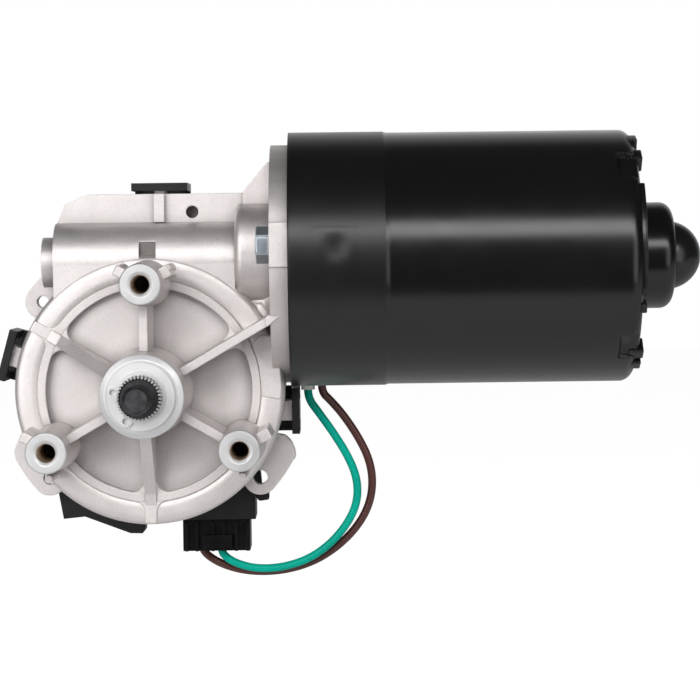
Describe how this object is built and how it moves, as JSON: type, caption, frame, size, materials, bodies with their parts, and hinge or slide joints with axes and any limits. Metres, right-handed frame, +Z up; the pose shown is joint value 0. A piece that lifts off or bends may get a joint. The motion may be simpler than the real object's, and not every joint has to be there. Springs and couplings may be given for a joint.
{
  "type": "wiper motor",
  "caption": "Two-speed worm gearmotor for windscreen wipers, with a cast gear housing, threaded mounting bosses, a serrated output shaft and a black cylindrical motor.",
  "frame": {"origin": "where the output shaft axis meets the plane of the three mounting boss faces", "axes": "-Y along the output shaft, out of its threaded end; +X along the motor, from the gear housing to the nose cap; +Z up"},
  "size_m": [0.1999, 0.0883, 0.1286],
  "materials": {
    "black_cap": "satin to gloss",
    "black_enamel": "gloss black enamel",
    "black_plastic": "moulded, satin",
    "black_rubber": "matt",
    "brass_contact": "stamped",
    "brown_insulation": "extruded",
    "brown_laminate": "pressed laminate",
    "carbon": "pressed carbon",
    "cast_aluminium": "as-cast, matt, fine grain",
    "clear_rubber": "translucent",
    "commutator_copper": "turned copper",
    "dark_steel": "phosphated, turned",
    "enamelled_copper": "enamelled wire",
    "ferrite": "fired ferrite, matt",
    "ground_steel": "ground",
    "lamination_steel": "stacked sheet",
    "plug_plastic": "moulded, satin",
    "sintered_bronze": "sintered, oiled",
    "spring_steel": "bright",
    "teal_insulation": "extruded",
    "white_plastic": "acetal, satin",
    "zinc_steel": "zinc plated"
  },
  "bodies": {
    "housing": {"bearing_retainer": "spring_steel", "brush_common": "carbon", "brush_high": "carbon", "brush_holder_common": "brass_contact", "brush_holder_high": "brass_contact", "brush_holder_low": "brass_contact", "brush_low": "carbon", "brush_plate": "brown_laminate", "brush_spring_common": "spring_steel", "brush_spring_high": "spring_steel", "brush_spring_low": "spring_steel", "choke_high": "enamelled_copper", "choke_low": "enamelled_copper", "connector_pins": "brass_contact", "contact_finger_1": "brass_contact", "contact_finger_2": "brass_contact", "contact_finger_3": "brass_contact", "cover_gasket": "black_rubber", "drive_bush": "sintered_bronze", "end_bush": "sintered_bronze", "flange_bolts": "zinc_steel", "front_anchor": "zinc_steel", "front_bush": "sintered_bronze", "front_magnet": "ferrite", "gear_housing": "cast_aluminium", "lead_brown": "brown_insulation", "lead_grommet": "clear_rubber", "lead_teal": "teal_insulation", "magnet_springs": "spring_steel", "motor_can": "black_enamel", "motor_plug": "plug_plastic", "nose_cap": "black_cap", "rear_anchor": "zinc_steel", "rear_bush": "sintered_bronze", "rear_cover": "black_plastic", "rear_magnet": "ferrite", "shaft_seal": "black_rubber", "terminal_carrier": "black_plastic", "thrust_screw": "zinc_steel", "worm_bush": "sintered_bronze"},
    "armature": {"armature_shaft": "ground_steel", "armature_core": "lamination_steel", "armature_windings": "enamelled_copper", "commutator": "commutator_copper"},
    "output": {"output_shaft": "dark_steel", "retaining_clip": "spring_steel", "thrust_washer": "spring_steel", "worm_wheel": "white_plastic", "contact_disc": "brass_contact"}
  },
  "joints": [
    {"name": "armature_spin", "type": "hinge", "parent": "housing", "child": "armature", "pos_m": [0, 0.036, 0.036], "axis": [1, 0, 0], "continuous": true},
    {"name": "output_spin", "type": "hinge", "parent": "housing", "child": "output", "pos_m": [0, 0, 0], "axis": [0, 1, 0], "continuous": true}
  ],
  "couplings": [
    {"joint": "output_spin", "follows": "armature_spin", "ratio": -0.016129}
  ]
}
